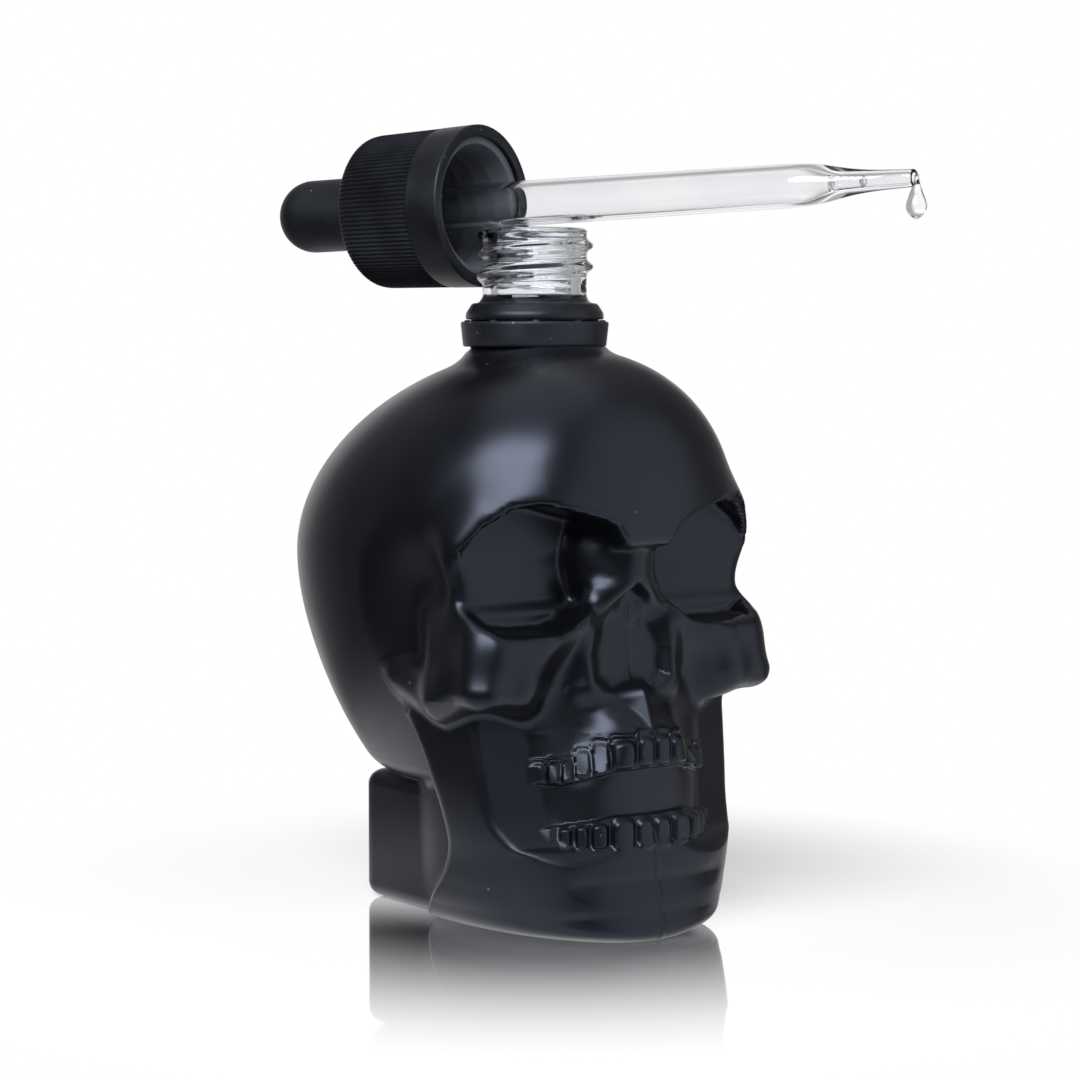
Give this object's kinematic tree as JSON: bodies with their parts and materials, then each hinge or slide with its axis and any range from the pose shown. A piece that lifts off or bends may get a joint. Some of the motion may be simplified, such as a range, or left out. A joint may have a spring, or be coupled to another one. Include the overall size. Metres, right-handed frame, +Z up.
{
  "type": "skull dropper bottle",
  "caption": "Black glass skull bottle with a clear screw neck, a loose tamper band, and a ribbed dropper closure lying across the mouth with its clear glass pipette.",
  "frame": {"origin": "centre line of the neck where it meets the plane of the foot", "axes": "+Z up along the neck axis, the skull's face toward -Y, its right side toward -X"},
  "size_m": [0.0594, 0.1068, 0.1198],
  "materials": {
    "glass_bottle": "satin",
    "tamper_band": "satin",
    "outer_shell": "matte",
    "inner_cap": "matte",
    "rubber_bulb": "matte",
    "glass_pipette": "gloss"
  },
  "bodies": {
    "bottle": {"glass_bottle": "glass_bottle"},
    "band": {"tamper_band": "tamper_band"},
    "dropper": {"inner_cap": "inner_cap", "rubber_bulb": "rubber_bulb", "glass_pipette": "glass_pipette"},
    "cap_shell": {"outer_shell": "outer_shell"}
  },
  "joints": [
    {"name": "band_turn", "type": "hinge", "parent": "bottle", "child": "band", "pos_m": [0, 0, 0.0878], "axis": [0, 0, 1], "continuous": true},
    {"name": "dropper_lift", "type": "slide", "parent": "bottle", "child": "dropper", "axis": [0, 0, 1], "range_m": [0, 0.11]},
    {"name": "shell_turn", "type": "hinge", "parent": "dropper", "child": "cap_shell", "pos_m": [0, 0, 0.10761], "axis": [0.3155, -0.9486, 0.0262], "continuous": true}
  ]
}
